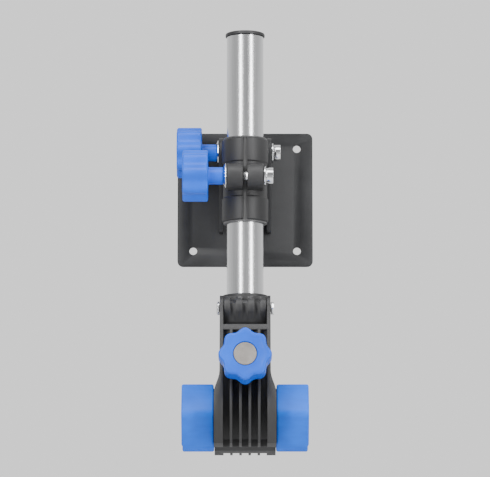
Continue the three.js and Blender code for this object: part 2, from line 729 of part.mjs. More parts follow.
// ---------- front jaw ----------
function frontJaw() {
  const crown = 11;
  const side = [
    [-5.5, -15],
    [4, -46],
    [10, -72],
    ...CRADLE,
    [5, -118.5],
    [16, -121],
    [26, -118.5],
    [34, -110],
    [40, -98],
    [42, -88],
    [41, -79],
    [38, -70],
    [30, -46],
    [23, -24],
    ...arc(0, 0, crown, 0, 195, 14),
  ];
  const pocket = [
    [-24, 20],
    [-24, -66],
    [10, -66],
    [14, -60],
    [14, -46],
    [11, -16],
    [56, -16],
    [56, 20],
  ];
  const slots = [
    [16, -21],
    [18, -46],
    [19, -62],
    [20.5, -78],
    [22.5, -92.5],
    [17, -107],
    [12, -114],
    [12, -130],
    [66, -130],
    [66, -21],
  ];
  const shape = pushed(flaredFront(JAW_HALF, 20, -130), "forward", 0, PIVOT_FORWARD + 60);
  const channel = cut(
    pushed(fromPivot(side), "x", -JAW_FOOT_HALF, JAW_FOOT_HALF).intersect(shape),
    pushed(fromPivot(pocket), "x", -JAW_IN, JAW_IN),
    ...ribSlots(fromPivot(slots), JAW_IN, JAW_RIBS, JAW_RIB),
  );
  const rim = BOSS_FRONT - DOME_RADIUS + Math.sqrt(DOME_RADIUS ** 2 - BOSS_RADIUS ** 2);
  const apex = BOSS_FRONT - DOME_RADIUS;
  const rimAngle = THREE.MathUtils.radToDeg(Math.acos(BOSS_RADIUS / DOME_RADIUS));
  const boss = [[0, BOSS_BACK], [BOSS_RADIUS, BOSS_BACK], ...arc(0, apex, DOME_RADIUS, rimAngle, 90, 5)];
  boss[boss.length - 1][0] = 0;
  const bed = disc(WASHER_BED, rim, BOSS_FRONT + 40);
  return cut(
    union(
      cut(channel, turned(bed, "forward", rodFrame, KNOB_ROUND)),
      turned(boss, "forward", rodFrame, KNOB_ROUND),
      wings(fromPivot),
    ),
    turned(disc(ROD_HOLE, BOSS_BACK - 5, BOSS_FRONT + 5), "forward", rodFrame, SMALL_ROUND),
    barX(PIVOT_RADIUS + GAP, -JAW_HALF - 1, JAW_HALF + 1, PIVOT_AT),
  );
}

// ---------- jaw pivot and pinch bolt ----------
function pivotBolt() {
  const face = JAW_HALF + GAP;
  const head = [
    [0, -face - PIVOT_HEAD_THICK],
    [PIVOT_HEAD_RADIUS - 1, -face - PIVOT_HEAD_THICK],
    [PIVOT_HEAD_RADIUS, -face - PIVOT_HEAD_THICK + 1],
    [PIVOT_HEAD_RADIUS, -face],
    [PIVOT_RADIUS, -face],
    [PIVOT_RADIUS, face + PIVOT_NUT_THICK - GAP],
    [0, face + PIVOT_NUT_THICK - GAP],
  ];
  const socket = hexX(SOCKET_RADIUS, -face - PIVOT_HEAD_THICK - 1, -face - 0.6, PIVOT_AT);
  return cut(turned(head, "x", [0, ...PIVOT_AT], SMALL_ROUND), socket);
}

function pivotNut() {
  const face = JAW_HALF + GAP;
  return cut(
    hexX(PIVOT_HEAD_RADIUS, face, face + PIVOT_NUT_THICK, PIVOT_AT),
    barX(PIVOT_RADIUS + GAP, face - 1, face + PIVOT_NUT_THICK + 1, PIVOT_AT),
  );
}

function pinchBolt() {
  const face = PINCH_LUG_HALF + GAP;
  const tip = face + PINCH_NUT_THICK + 1;
  return cut(
    union(
      barX(PINCH_HEAD_RADIUS, -face - PINCH_HEAD_THICK, -face, PINCH_AT),
      barX(PINCH_BOLT_RADIUS, -face - 1, tip, PINCH_AT),
    ),
    hexX(SOCKET_RADIUS * 0.8, -face - PINCH_HEAD_THICK - 1, -face - 1.8, PINCH_AT),
  );
}

function pinchNut() {
  const face = PINCH_LUG_HALF + GAP;
  return cut(
    hexX(PINCH_HEAD_RADIUS + 0.5, face, face + PINCH_NUT_THICK, PINCH_AT),
    barX(PINCH_BOLT_RADIUS + GAP, face - 1, face + PINCH_NUT_THICK + 1, PINCH_AT),
  );
}

// ---------- clamp rod, in its own frame: forward from the barrel pin ----------
function clampRod() {
  const end = [
    [0, -ROD_RADIUS],
    [ROD_RADIUS, -ROD_RADIUS],
    [ROD_RADIUS, ROD_LENGTH - 1],
    [ROD_RADIUS - 1, ROD_LENGTH],
    [0, ROD_LENGTH],
  ];
  return turned(end, "forward", [0, 0, 0], SMALL_ROUND);
}

function barrelPin() {
  const socket = disc(ROD_RADIUS + GAP, -ROD_RADIUS - GAP, PIN_RADIUS + 2);
  return cut(
    barX(PIN_RADIUS, -PIN_HALF, PIN_HALF, [0, 0], SMALL_ROUND),
    turned(socket, "forward", [0, 0, 0], SMALL_ROUND),
  );
}

const SEAT_FACE = PIN_RADIUS + GAP;

function springSeat() {
  const outer = SPRING_RADIUS + 1;
  return turned(ring(BORE, outer, SEAT_FACE, SEAT_FACE + SEAT_THICK), "forward", [0, 0, 0], SMALL_ROUND);
}

class Helix extends THREE.Curve {
  constructor(radius, from, to, turns) {
    super();
    Object.assign(this, { radius, from, to, turns });
  }
  getPoint(t, target = new THREE.Vector3()) {
    const angle = 2 * Math.PI * this.turns * t;
    const along = this.from + (this.to - this.from) * t;
    return target.set(this.radius * Math.cos(angle), -along, this.radius * Math.sin(angle));
  }
}

function jawSpring() {
  const from = SEAT_FACE + SEAT_THICK + SPRING_WIRE + GAP;
  const to = BOSS_BACK - SPRING_WIRE - GAP;
  const path = new Helix(SPRING_RADIUS - SPRING_WIRE, from, to, SPRING_TURNS);
  const section = outline(arc(0, 0, SPRING_WIRE, 0, 288, 4));
  const steps = SPRING_TURNS * SPRING_STEPS;
  return solid(new THREE.ExtrudeGeometry(section, { extrudePath: path, steps, bevelEnabled: false }));
}

// ---------- assembly ----------
const rack = new THREE.Group();

// plate, ears and the fixed tilt bolt
rack.add(
  piece("wall_plate", wallPlate(), "paint"),
  piece("ear_left", ear(-1), "paint"),
  piece("ear_right", ear(1), "paint"),
);
const tiltSeat = EAR_OUT + GAP;
const lockSeat = LOCK_LUG_HALF + GAP;
const flatStack = WASHER_THICK + GAP;
const cupStack = CUP_DEPTH + GAP;
const engaged = INSERT_LENGTH - 1; // thread of each bolt inside its knob
const tiltTip = -(tiltSeat + flatStack + engaged);
const lockTip = -(lockSeat + cupStack + engaged);
rack.add(
  piece("tilt_bolt", rightHeadedBolt(TILT_AT, tiltSeat + flatStack, tiltTip), "chrome"),
  piece("tilt_head_washer", flatWasher(tiltSeat, TILT_AT), "chrome"),
  piece("tilt_knob_washer", flatWasher(-tiltSeat - WASHER_THICK, TILT_AT), "chrome"),
  leftKnob("tilt", tiltSeat + flatStack, TILT_AT),
);

// collar, its lock bolt and knob
const lockCup = piece("tube_lock_knob_washer", cupWasher(), "chrome");
lockCup.rotation.z = -Math.PI / 2;
lockCup.position.set(-lockSeat, -LOCK_FORWARD, LOCK_HEIGHT);
rack.add(
  piece("collar", collar(), "blackPlastic"),
  piece("collar_liner", liner(), "linerPlastic"),
  piece("tube_lock_bolt", rightHeadedBolt(LOCK_AT, lockSeat + flatStack, lockTip), "chrome"),
  piece("tube_lock_head_washer", flatWasher(lockSeat, LOCK_AT), "chrome"),
  lockCup,
  leftKnob("tube_lock", lockSeat + cupStack, LOCK_AT),
);

// tube, head and everything fixed to them
rack.add(
  piece("tube", tube(), "aluminium"),
  piece("tube_end_cap", tubeEndCap(), "blackPlastic"),
  piece("clamp_head", clampHead(), "blackPlastic"),
  piece("pinch_bolt", pinchBolt(), "chrome"),
  piece("pinch_nut", pinchNut(), "chrome"),
  piece("jaw_pivot_bolt", pivotBolt(), "chrome"),
  piece("jaw_pivot_nut", pivotNut(), "chrome"),
  piece("front_jaw", frontJaw(), "blackPlastic"),
  piece("front_pad_left", pad(-1, fromPivot), "blueRubber"),
  piece("front_pad_right", pad(1, fromPivot), "blueRubber"),
  piece("rear_pad_left", pad(-1, rearPlace), "blueRubber"),
  piece("rear_pad_right", pad(1, rearPlace), "blueRubber"),
);

// rod, spring and clamp knob share the rod's own slanted frame
const onRod = grouped(
  piece("clamp_rod", clampRod(), "chrome"),
  piece("rod_barrel_pin", barrelPin(), "chrome"),
  piece("spring_seat_washer", springSeat(), "chrome"),
  piece("jaw_spring", jawSpring(), "chrome"),
);
const clampCup = piece("clamp_knob_washer", cupWasher(), "chrome");
const clampKnob = knobSet("clamp");
const cupPlace = BOSS_FRONT + GAP - (CUP_DEPTH - 1.2); // the cup's flat clears the dome
clampCup.position.y = -cupPlace;
clampKnob.position.y = -(cupPlace + cupStack);
onRod.add(clampCup, clampKnob);
onRod.applyMatrix4(rodFrame);
rack.add(onRod);

export default rack;
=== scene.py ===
"""Looks for a wall-mounted bicycle clamp: finishes, rounded mouldings, knobs, spring and threads."""
import json
import math

import bmesh
import bpy
from mathutils import Matrix, Vector


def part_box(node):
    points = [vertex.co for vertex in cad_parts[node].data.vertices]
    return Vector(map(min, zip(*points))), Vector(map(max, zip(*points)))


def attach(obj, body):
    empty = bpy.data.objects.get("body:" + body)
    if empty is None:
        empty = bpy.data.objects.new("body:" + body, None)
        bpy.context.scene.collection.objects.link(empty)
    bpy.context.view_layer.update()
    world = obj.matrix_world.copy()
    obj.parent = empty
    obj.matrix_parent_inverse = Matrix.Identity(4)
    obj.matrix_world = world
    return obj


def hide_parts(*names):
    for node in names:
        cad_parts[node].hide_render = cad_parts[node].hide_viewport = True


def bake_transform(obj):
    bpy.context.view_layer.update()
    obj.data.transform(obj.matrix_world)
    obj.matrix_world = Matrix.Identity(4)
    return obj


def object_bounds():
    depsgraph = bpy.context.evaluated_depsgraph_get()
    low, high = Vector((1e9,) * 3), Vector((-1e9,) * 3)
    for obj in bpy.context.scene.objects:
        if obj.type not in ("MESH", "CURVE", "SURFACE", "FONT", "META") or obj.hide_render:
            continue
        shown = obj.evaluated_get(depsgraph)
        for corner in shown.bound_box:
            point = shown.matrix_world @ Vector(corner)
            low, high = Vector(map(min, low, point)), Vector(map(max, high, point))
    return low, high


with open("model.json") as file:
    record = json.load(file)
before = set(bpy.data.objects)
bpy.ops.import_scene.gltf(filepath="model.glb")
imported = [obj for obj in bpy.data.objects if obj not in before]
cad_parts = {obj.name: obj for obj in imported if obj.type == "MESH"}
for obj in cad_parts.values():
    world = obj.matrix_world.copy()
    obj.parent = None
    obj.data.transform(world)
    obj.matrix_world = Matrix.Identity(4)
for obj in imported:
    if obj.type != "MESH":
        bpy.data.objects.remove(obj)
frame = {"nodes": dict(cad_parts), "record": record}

cad_box = [list(corner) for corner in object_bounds()]
MM = 0.001

# ---------- shader building ----------


class Val:
    """A shader socket that can be used in sums, so an expression adds its Math nodes."""

    def __init__(self, maker, socket):
        self.maker = maker
        self.socket = socket

    def _math(self, operation, first, second):
        node = self.maker.node("ShaderNodeMath", {"operation": operation}, {0: first, 1: second})
        return Val(self.maker, node.outputs[0])

    def __add__(self, other):
        return self._math("ADD", self, other)

    def __radd__(self, other):
        return self._math("ADD", other, self)

    def __sub__(self, other):
        return self._math("SUBTRACT", self, other)

    def __rsub__(self, other):
        return self._math("SUBTRACT", other, self)

    def __mul__(self, other):
        return self._math("MULTIPLY", self, other)

    def __rmul__(self, other):
        return self._math("MULTIPLY", other, self)


class Finish:
    """One material: a Principled shader, and short calls for what varies over its surface."""

    def __init__(self, name, **constants):
        self.material = bpy.data.materials.new(name)
        self.material.use_nodes = True
        self.tree = self.material.node_tree
        self.shader = self.tree.nodes["Principled BSDF"]
        self.place = self.node("ShaderNodeTexCoord", {}, {}).outputs["Object"]
        for socket, value in constants.items():
            self.shader.inputs[socket.replace("_", " ")].default_value = value

    def node(self, kind, settings, inputs):
        made = self.tree.nodes.new(kind)
        for key, value in settings.items():
            if key == "stops":
                ramp = made.color_ramp.elements
                for index, (position, colour) in enumerate(value):
                    stop = ramp[index] if index < 2 else ramp.new(position)
                    stop.position = position
                    stop.color = (*colour, 1)
            else:
                setattr(made, key, value)
        for key, value in inputs.items():
            socket = made.inputs[key]
            if isinstance(value, Val):
                self.tree.links.new(value.socket, socket)
            elif isinstance(value, bpy.types.NodeSocket):
                self.tree.links.new(value, socket)
            else:
                socket.default_value = value
        return made

    def stretched(self, x, y, z):
        """Object coordinates scaled by axis, in steps per metre."""
        mapping = self.node("ShaderNodeMapping", {}, {"Vector": self.place, "Scale": (x, y, z)})
        return mapping.outputs["Vector"]

    def noise(self, scale, detail=2, rough=0.5, along=(1, 1, 1)):
        where = self.stretched(*(scale * step for step in along))
        made = self.node(
            "ShaderNodeTexNoise",
            {},
            {"Vector": where, "Scale": 1.0, "Detail": detail, "Roughness": rough},
        )
        return Val(self, made.outputs["Fac"])

    def pits(self, scale):
        where = self.stretched(scale, scale, scale)
        made = self.node("ShaderNodeTexVoronoi", {}, {"Vector": where, "Scale": 1.0})
        return Val(self, made.outputs["Distance"])

    def ramp(self, value, stops):
        made = self.node("ShaderNodeValToRGB", {"stops": stops}, {"Fac": value})
        return made.outputs["Color"]

    def drive(self, socket, value):
        source = value.socket if isinstance(value, Val) else value
        self.tree.links.new(source, self.shader.inputs[socket])

    def bump(self, height, strength, distance):
        made = self.node(
            "ShaderNodeBump", {}, {"Height": height, "Strength": strength, "Distance": distance}
        )
        self.tree.links.new(made.outputs["Normal"], self.shader.inputs["Normal"])


def between(low, high, value):
    return low + (high - low) * value


def powder_coat():
    """Satin black powder coat on steel: orange peel, dusty patches, dull rubs."""
    f = Finish("powder_coat", Specular_IOR_Level=0.4)
    peel = f.noise(900, 2, 0.5)
    clouds = f.noise(28, 3, 0.6)
    specks = f.noise(2600, 1, 0.4)
    tone = clouds * 0.7 + specks * 0.3
    stops = [(0.3, (0.012, 0.0125, 0.0135)), (0.7, (0.027, 0.0275, 0.0295))]
    f.drive("Base Color", f.ramp(tone, stops))
    f.drive("Roughness", between(0.36, 0.58, clouds))
    f.bump(peel * 0.7 + specks * 0.3, 0.35, 0.00018)
    return f.material


def black_moulding():
    """Glass-filled nylon: fine spark-eroded grain and faint flow marks."""
    dark = 0.01
    light = 0.027
    f = Finish("black_moulding", Specular_IOR_Level=0.5)
    grain = f.pits(1700)
    flow = f.noise(35, 3, 0.6, (1, 1, 0.4))
    fine = f.noise(3200, 2, 0.6)
    stops = [(0.3, (dark, dark, dark * 1.06)), (0.75, (light, light, light * 1.05))]
    f.drive("Base Color", f.ramp(flow * 0.6 + fine * 0.4, stops))
    f.drive("Roughness", between(0.4, 0.6, flow * 0.6 + fine * 0.4))
    f.bump(grain * 0.6 + fine * 0.4, 0.3, 0.00012)
    return f.material


def blue_moulding():
    """Bright blue knob plastic with a fine matt grain and a slight skin gloss."""
    f = Finish("blue_moulding", Specular_IOR_Level=0.35)
    grain = f.pits(1500)
    fine = f.noise(2400, 2, 0.6)
    flow = f.noise(45, 2, 0.5)
    stops = [(0.25, (0.0, 0.075, 0.56)), (0.75, (0.0, 0.125, 0.82))]
    f.drive("Base Color", f.ramp(flow * 0.65 + fine * 0.35, stops))
    f.drive("Roughness", between(0.34, 0.52, fine * 0.5 + flow * 0.5))
    f.bump(grain * 0.5 + fine * 0.5, 0.35, 0.00014)
    return f.material


def blue_rubber():
    """Moulded rubber: soft sheen, faint handling marks, slightly uneven colour."""
    f = Finish("blue_rubber", Specular_IOR_Level=0.32)
    clouds = f.noise(40, 3, 0.55)
    rubs = f.noise(220, 3, 0.65, (0.25, 1, 1))
    fine = f.noise(2000, 2, 0.5)
    stops = [(0.25, (0.0, 0.1, 0.62)), (0.8, (0.0, 0.16, 0.88))]
    f.drive("Base Color", f.ramp(clouds * 0.6 + rubs * 0.4, stops))
    f.drive("Roughness", between(0.38, 0.6, rubs))
    f.bump(fine * 0.7 + rubs * 0.3, 0.22, 0.00016)
    return f.material


def drawn_tube():
    """Satin-polished aluminium with drawing lines along the tube."""
    f = Finish("drawn_tube", Metallic=1.0, Anisotropic=0.35)
    lines = f.noise(1400, 3, 0.65, (1, 1, 0.012))
    broad = f.noise(160, 2, 0.5, (1, 1, 0.05))
    stops = [(0.25, (0.52, 0.525, 0.535)), (0.75, (0.72, 0.725, 0.735))]
    f.drive("Base Color", f.ramp(lines * 0.5 + broad * 0.5, stops))
    f.drive("Roughness", between(0.14, 0.3, lines * 0.6 + broad * 0.4))
    f.bump(lines, 0.16, 0.00006)
    return f.material


def plated(name="chrome_plate", low=0.06, high=0.22, colour=(0.8, 0.81, 0.82)):
    """Bright plated steel with polishing haze."""
    f = Finish(name, Metallic=1.0)
    haze = f.noise(120, 3, 0.6)
    lines = f.noise(1800, 2, 0.6)
    dim = tuple(0.82 * c for c in colour)
    f.drive("Base Color", f.ramp(haze, [(0.3, dim), (0.7, colour)]))
    f.drive("Roughness", between(low, high, haze * 0.6 + lines * 0.4))
    f.bump(lines, 0.08, 0.00005)
    return f.material


def grey_cap():
    """Warm grey snap-in cap with a light matt grain."""
    f = Finish("grey_cap", Specular_IOR_Level=0.45)
    fine = f.noise(1900, 3, 0.6)
    clouds = f.noise(140, 2, 0.5)
    stops = [(0.3, (0.17, 0.158, 0.146)), (0.75, (0.28, 0.262, 0.245))]
    f.drive("Base Color", f.ramp(fine * 0.5 + clouds * 0.5, stops))
    f.drive("Roughness", between(0.42, 0.6, clouds))
    f.bump(fine, 0.3, 0.00012)
    return f.material


def liner_plastic():
    """Dark acetal liner, waxy and slightly rubbed."""
    f = Finish("liner_plastic", Specular_IOR_Level=0.5)
    rubs = f.noise(500, 3, 0.6, (1, 1, 0.1))
    stops = [(0.3, (0.06, 0.06, 0.062)), (0.8, (0.1, 0.1, 0.1))]
    f.drive("Base Color", f.ramp(rubs, stops))
    f.drive("Roughness", between(0.3, 0.48, rubs))
    f.bump(rubs, 0.1, 0.00008)
    return f.material


STEEL_BLACK = powder_coat()
NYLON = black_moulding()
BLUE = blue_moulding()
RUBBER = blue_rubber()
TUBE_METAL = drawn_tube()
CHROME = plated()
BRASS = plated("brass", 0.16, 0.34, (0.78, 0.58, 0.26))
CAP_GREY = grey_cap()
LINER = liner_plastic()

# ---------- mesh building ----------

body_of = {node: body for body, nodes in frame["record"]["behaviour"]["bodies"].items() for node in nodes}


def corners(node):
    low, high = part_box(node)
    return Vector(low), Vector(high)


def add_piece(name, mesh, material, node, smooth=35, rides=True):
    """Puts a mesh in the scene as the piece that stands for a CAD node, on that node's body."""
    mesh.materials.clear()
    mesh.materials.append(material)
    for face in mesh.polygons:
        face.use_smooth = True
        face.material_index = 0
    mesh.set_sharp_from_angle(angle=math.radians(smooth))
    piece = bpy.data.objects.new(name, mesh)
    bpy.context.scene.collection.objects.link(piece)
    if rides:
        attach(piece, body_of[node])
    return piece


def flattened(source):
    """The evaluated object as a plain mesh, with the source object removed."""
    graph = bpy.context.evaluated_depsgraph_get()
    mesh = bpy.data.meshes.new_from_object(source.evaluated_get(graph))
    bpy.data.objects.remove(source)
    return mesh


MERGE_REACH = 2e-6
FLAT_ANGLE = math.radians(0.4)
EDGE_ANGLE = math.radians(32)
EDGE_STEPS = 2


def rounded(node, material, width):
    """The CAD solid with merged faces, and its edges rounded as a mould or a file leaves them."""
    mesh = frame["nodes"][node].data.copy()
    shell = bmesh.new()
    shell.from_mesh(mesh)
    bmesh.ops.remove_doubles(shell, verts=shell.verts, dist=MERGE_REACH)
    bmesh.ops.dissolve_limit(
        shell, angle_limit=FLAT_ANGLE, verts=shell.verts, edges=shell.edges
    )
    shell.to_mesh(mesh)
    shell.free()
    blank = bpy.data.objects.new("blank", mesh)
    bpy.context.scene.collection.objects.link(blank)
    bevel = blank.modifiers.new("round", "BEVEL")
    bevel.width = width * MM
    bevel.segments = EDGE_STEPS
    bevel.limit_method = "ANGLE"
    bevel.angle_limit = EDGE_ANGLE
    bevel.miter_outer = "MITER_ARC"
    weighted = blank.modifiers.new("weigh", "WEIGHTED_NORMAL")
    weighted.keep_sharp = True
    made = flattened(blank)
    piece = add_piece(node + "_moulded", made, material, node)
    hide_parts(node)
    return piece


def rings_mesh(name, rings):
    """Joins rings of points, each as long as the next and the last to the first, into a skin."""
    count = len(rings[0])
    points = [point for ring in rings for point in ring]
    faces = []
    for r in range(len(rings)):
        here = r * count
        there = ((r + 1) % len(rings)) * count
        for i in range(count):
            j = (i + 1) % count
            faces.append((here + i, here + j, there + j, there + i))
    mesh = bpy.data.meshes.new(name)
    mesh.from_pydata(points, [], faces)
    shell = bmesh.new()
    shell.from_mesh(mesh)
    bmesh.ops.remove_doubles(shell, verts=shell.verts, dist=1e-7)
    bmesh.ops.recalc_face_normals(shell, faces=shell.faces)
    shell.to_mesh(mesh)
    shell.free()
    return mesh


def fillet(outer, inner, steps=4):
    """Quarter round from the first [radius, along] to the second, bulging away from the axis."""
    (r0, a0), (r1, a1) = outer, inner
    turns = [math.pi / 2 * i / steps for i in range(steps + 1)]
    return [(r1 + (r0 - r1) * math.cos(t), a0 + (a1 - a0) * math.sin(t)) for t in turns]


class Place:
    """Where a turned piece stands: a point, the way it points, and the way its first radius goes."""

    def __init__(self, point, way, side):
        self.point = Vector(point)
        self.way = Vector(way).normalized()
        self.side = (Vector(side) - Vector(side).project(self.way)).normalized()
        self.cross = self.way.cross(self.side)

    def at(self, radius, angle, along):
        out = self.side * math.cos(angle) + self.cross * math.sin(angle)
        return self.point + (self.way * along + out * radius) * MM


def turned(name, profile, place, facets):
    """A turned solid from a closed [radius, along] profile in millimetres."""
    angles = [2 * math.pi * i / facets for i in range(facets)]
    rings = [[place.at(radius, angle, along) for angle in angles] for radius, along in profile]
    return rings_mesh(name, rings)



# ---------- geometry node trees ----------


class Tree:
    """A geometry node tree with named inputs, ending in real geometry with its material set."""

    def __init__(self, name, **sizes):
        self.group = bpy.data.node_groups.new(name, "GeometryNodeTree")
        face = self.group.interface
        face.new_socket("Geometry", in_out="INPUT", socket_type="NodeSocketGeometry")
        for size, value in sizes.items():
            kind = "NodeSocketInt" if isinstance(value, int) else "NodeSocketFloat"
            made = face.new_socket(size.replace("_", " "), in_out="INPUT", socket_type=kind)
            made.default_value = value
        face.new_socket("Geometry", in_out="OUTPUT", socket_type="NodeSocketGeometry")
        self.sizes = {size.replace("_", " "): value for size, value in sizes.items()}
        self.inputs = self.group.nodes.new("NodeGroupInput").outputs

    def node(self, kind, inputs=None, **settings):
        made = self.group.nodes.new(kind)
        for key, value in settings.items():
            setattr(made, key, value)
        for key, value in (inputs or {}).items():
            if isinstance(value, bpy.types.NodeSocket):
                self.group.links.new(value, made.inputs[key])
            else:
                made.inputs[key].default_value = value
        return made.outputs

    def math(self, operation, first, second=0.0):
        return self.node("ShaderNodeMath", {0: first, 1: second}, operation=operation)[0]

    def size(self, name):
        return self.inputs[name]

    def finish(self, geometry, material):
        whole = self.node("GeometryNodeRealizeInstances", {"Geometry": geometry})[0]
        painted = self.node("GeometryNodeSetMaterial", {"Geometry": whole, "Material": material})[0]
        out = self.group.nodes.new("NodeGroupOutput")
        self.group.links.new(painted, out.inputs[0])

    def grown(self, base=None):
        """The tree's result on a base mesh, as a plain mesh."""
        host = bpy.data.objects.new("host", base or bpy.data.meshes.new("seed"))
        bpy.context.scene.collection.objects.link(host)
        modifier = host.modifiers.new("grow", "NODES")
        modifier.node_group = self.group
        for item in self.group.interface.items_tree:
            if item.in_out == "INPUT" and item.name in self.sizes:
                modifier[item.identifier] = self.sizes[item.name]
        return flattened(host)


def coil_mesh(name, material, radius, wire, turns, height, squeeze, sides, steps):
    """A round wire wound about +Z from z = 0, its end coils drawn closer together by squeeze."""
    tree = Tree(name, Radius=radius, Wire=wire, Turns=turns, Height=height, Squeeze=squeeze)
    spiral = tree.node(
        "GeometryNodeCurveSpiral",
        {
            "Resolution": steps,
            "Rotations": tree.size("Turns"),
            "Start Radius": tree.size("Radius"),
            "End Radius": tree.size("Radius"),
            "Height": tree.size("Height"),
        },
    )[0]
    along = tree.node("GeometryNodeSplineParameter")["Factor"]
    wave = tree.math("SINE", tree.math("MULTIPLY", along, 2 * math.pi))
    reach = tree.math("MULTIPLY", tree.size("Squeeze"), tree.size("Height"))
    pull = tree.math("MULTIPLY", wave, tree.math("MULTIPLY", reach, -1 / (2 * math.pi)))
    lift = tree.node("ShaderNodeCombineXYZ", {"Z": pull})[0]
    wound = tree.node("GeometryNodeSetPosition", {"Geometry": spiral, "Offset": lift})[0]
    circle = tree.node(
        "GeometryNodeCurvePrimitiveCircle", {"Resolution": sides, "Radius": tree.size("Wire")}
    )[0]
    skin = tree.node(
        "GeometryNodeCurveToMesh", {"Curve": wound, "Profile Curve": circle, "Fill Caps": True}
    )[0]
    tree.finish(skin, material)
    return tree.grown()


def stood(mesh, place, along):
    """Stands a mesh made about +Z from z = 0 on a place, starting that far along its way."""
    turn = Matrix((place.side, place.cross, place.way)).transposed().to_4x4()
    mesh.transform(Matrix.Translation(place.point + place.way * along * MM) @ turn)
    return mesh


# ---------- the star knobs ----------

LOBES = 8
LOBE_DIP = 2.8
KNOB_RADIUS = 22.5
HUB_LENGTH = 13.0
HUB_RADIUS = 7.5
KNOB_LENGTH = 35.0
CAP_RADIUS = 9.8
CAP_THICK = 2.6
CAP_SINK = 0.8
CUP_RADIUS = 11.0
CUP_DEPTH = 2.4
BORE = 4.3
RIM_ROUND = 2.0
DISH_DEPTH = 0.45
DISH_RADIUS = 18.0
KNOB_FACETS = LOBES * 18


def knob_profile():
    """[radius, along, lobing] round a knob's section; lobing 1 follows the lobes, 0 stays round."""
    face = KNOB_LENGTH
    back = HUB_LENGTH
    recess = CAP_RADIUS + 0.3
    floor = face - CAP_SINK - CAP_THICK - 0.3
    front = fillet((KNOB_RADIUS, face - RIM_ROUND), (KNOB_RADIUS - RIM_ROUND, face), 5)
    rear = fillet((KNOB_RADIUS, back + 1.6), (KNOB_RADIUS - 1.6, back), 4)[::-1]
    body = [(r, a, 1.0) for r, a in rear + front]
    web = [(14.0, back, 0.5), (HUB_RADIUS + 1.2, back, 0.0), (HUB_RADIUS + 0.3, back - 0.4, 0.0)]
    hub = [(HUB_RADIUS, back - 1.4, 0.0), (HUB_RADIUS, 0.5, 0.0), (HUB_RADIUS - 0.5, 0.0, 0.0)]
    bore = [(BORE + 1.5, 0.0, 0.0), (BORE, 1.0, 0.0), (BORE, floor, 0.0), (recess, floor, 0.0)]
    lip = [(recess, face - 0.5 - DISH_DEPTH, 0.0), (recess + 0.4, face - DISH_DEPTH, 0.0)]
    dish = [(DISH_RADIUS - 2.5, face - DISH_DEPTH, 0.35), (DISH_RADIUS, face - 0.05, 0.75)]
    rim = [(DISH_RADIUS + 0.6, face, 0.85)]
    return bore + lip + dish + rim + body[::-1] + web + hub


def lobed(name, base, place):
    """Draws the marked rings of a turned knob in and out with the lobes, round the place's way."""
    tree = Tree(name, Lobes=LOBES, Dip=LOBE_DIP * MM, Radius=KNOB_RADIUS * MM)
    spot = tree.node("GeometryNodeInputPosition")[0]
    flat = tree.node("ShaderNodeSeparateXYZ", {"Vector": spot})
    angle = tree.math("ARCTAN2", flat["Y"], flat["X"])
    wave = tree.math("COSINE", tree.math("MULTIPLY", angle, tree.size("Lobes")))
    dip = tree.math("MULTIPLY", tree.math("SUBTRACT", 1.0, wave), 0.5)
    share = tree.math("DIVIDE", tree.size("Dip"), tree.size("Radius"))
    mark = tree.node("GeometryNodeInputNamedAttribute", {"Name": "lobing"}, data_type="FLOAT")[0]
    deep = tree.math("MULTIPLY", tree.math("MULTIPLY", dip, share), mark)
    keep = tree.math("SUBTRACT", 1.0, deep)
    scale = tree.node("ShaderNodeCombineXYZ", {"X": keep, "Y": keep, "Z": 1.0})[0]
    moved = tree.node("ShaderNodeVectorMath", {0: spot, 1: scale}, operation="MULTIPLY")[0]
    shaped = tree.node("GeometryNodeSetPosition", {"Geometry": tree.inputs[0], "Position": moved})[0]
    tree.finish(shaped, BLUE)
    return stood(tree.grown(base), place, 0.0)


def star_knob(node, place):
    profile = knob_profile()
    upright = Place((0, 0, 0), (0, 0, 1), (1, 0, 0))
    base = turned(node, [(r, a) for r, a, mark in profile], upright, KNOB_FACETS)
    mark_at = {(round(r, 3), round(a, 3)): mark for r, a, mark in profile}
    marks = base.attributes.new("lobing", "FLOAT", "POINT")
    for index, vertex in enumerate(base.vertices):
        radius = math.hypot(vertex.co.x, vertex.co.y) / MM
        marks.data[index].value = mark_at[(round(radius, 3), round(vertex.co.z / MM, 3))]
    piece = add_piece(node + "_star", lobed(node + "_lobes", base, place), BLUE, node, 40)
    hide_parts(node)


def cap(node, place):
    face = KNOB_LENGTH - CAP_SINK
    edge = CAP_RADIUS - 0.8
    profile = [(0.0, face - CAP_THICK), (CAP_RADIUS - 0.2, face - CAP_THICK)]
    profile += [(CAP_RADIUS, face - CAP_THICK + 0.3), (CAP_RADIUS, face - 0.6)]
    profile += fillet((CAP_RADIUS, face - 0.6), (edge, face), 4)[1:]
    profile += [(edge - 0.7, face - 0.02), (edge - 1.1, face - 0.22), (0.0, face - 0.12)]
    piece = add_piece(node + "_crowned", turned(node, profile, place, 72), CAP_GREY, node)
    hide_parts(node)


def cup_washer(node, place):
    """A pressed washer with a rolled rim; its hollow side faces back along the way."""
    inner = [(BORE, CUP_DEPTH - 1.2), (CUP_RADIUS - 3.8, CUP_DEPTH - 1.2), (CUP_RADIUS - 1.1, 0.25)]
    rim = [(CUP_RADIUS - 0.8, 0.05), (CUP_RADIUS - 0.2, 0.0), (CUP_RADIUS, 0.3)]
    outer = [(CUP_RADIUS - 0.1, 0.8), (CUP_RADIUS - 1.5, 1.7), (CUP_RADIUS - 2.6, 2.25)]
    top = [(CUP_RADIUS - 3.4, CUP_DEPTH), (BORE + 0.3, CUP_DEPTH), (BORE, CUP_DEPTH - 0.3)]
    mesh = turned(node, inner + rim + outer + top, place, 72)
    piece = add_piece(node + "_pressed", mesh, CHROME, node)
    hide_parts(node)


